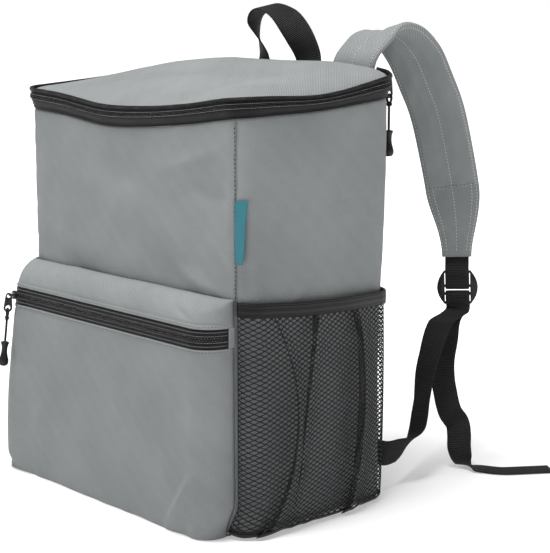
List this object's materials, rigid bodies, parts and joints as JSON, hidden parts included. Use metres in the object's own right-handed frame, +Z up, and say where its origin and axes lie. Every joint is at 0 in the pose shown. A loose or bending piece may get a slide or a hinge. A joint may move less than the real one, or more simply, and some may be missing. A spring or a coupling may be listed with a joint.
{
  "type": "cooler backpack",
  "caption": "Soft insulated backpack: padded box body with zipped lid, zipped front pocket, net side pockets, webbing handle and padded shoulder straps.",
  "frame": {"origin": "middle of the body's base, on the surface the backpack stands on", "axes": "+Z up, -Y towards the front pocket, +X towards the side pocket the picture shows"},
  "size_m": [0.4184, 0.4383, 0.4821],
  "materials": {
    "grey_cloth": "matte twill",
    "black_webbing": "ribbed webbing",
    "black_net": "open net",
    "black_zip": "coil zip and tape",
    "black_metal": "satin lacquer",
    "black_plastic": "satin moulding",
    "teal_label": "woven tape"
  },
  "bodies": {
    "root": {"front_panel": "grey_cloth", "side_panel_right": "grey_cloth", "side_panel_left": "grey_cloth", "back_panel": "grey_cloth", "base_panel": "grey_cloth", "lid_panel": "grey_cloth", "lid_zip_lower_tape": "black_zip", "lid_zip_chain": "black_zip", "lid_zip_upper_tape": "black_zip", "lid_binding": "black_zip", "pocket_lower_panel": "grey_cloth", "pocket_upper_panel": "grey_cloth", "pocket_zip_lower_tape": "black_zip", "pocket_zip_chain": "black_zip", "pocket_zip_upper_tape": "black_zip", "pocket_zip_end_left": "grey_cloth", "pocket_zip_end_right": "grey_cloth", "pocket_base": "grey_cloth", "net_right": "black_net", "net_binding_right": "black_webbing", "net_left": "black_net", "net_binding_left": "black_webbing", "top_handle": "black_webbing", "shoulder_strap_right": "grey_cloth", "strap_adjuster_right": "black_plastic", "strap_upper_webbing_right": "black_webbing", "strap_lower_webbing_right": "black_webbing", "shoulder_strap_left": "grey_cloth", "strap_adjuster_left": "black_plastic", "strap_upper_webbing_left": "black_webbing", "strap_lower_webbing_left": "black_webbing", "side_label": "teal_label", "lid_slider": "black_metal", "lid_puller": "black_metal", "lid_pull_cord": "black_webbing", "lid_grip": "black_plastic", "pocket_slider": "black_metal", "pocket_puller": "black_metal", "pocket_pull_cord": "black_webbing", "pocket_grip": "black_plastic"}
  },
  "joints": []
}
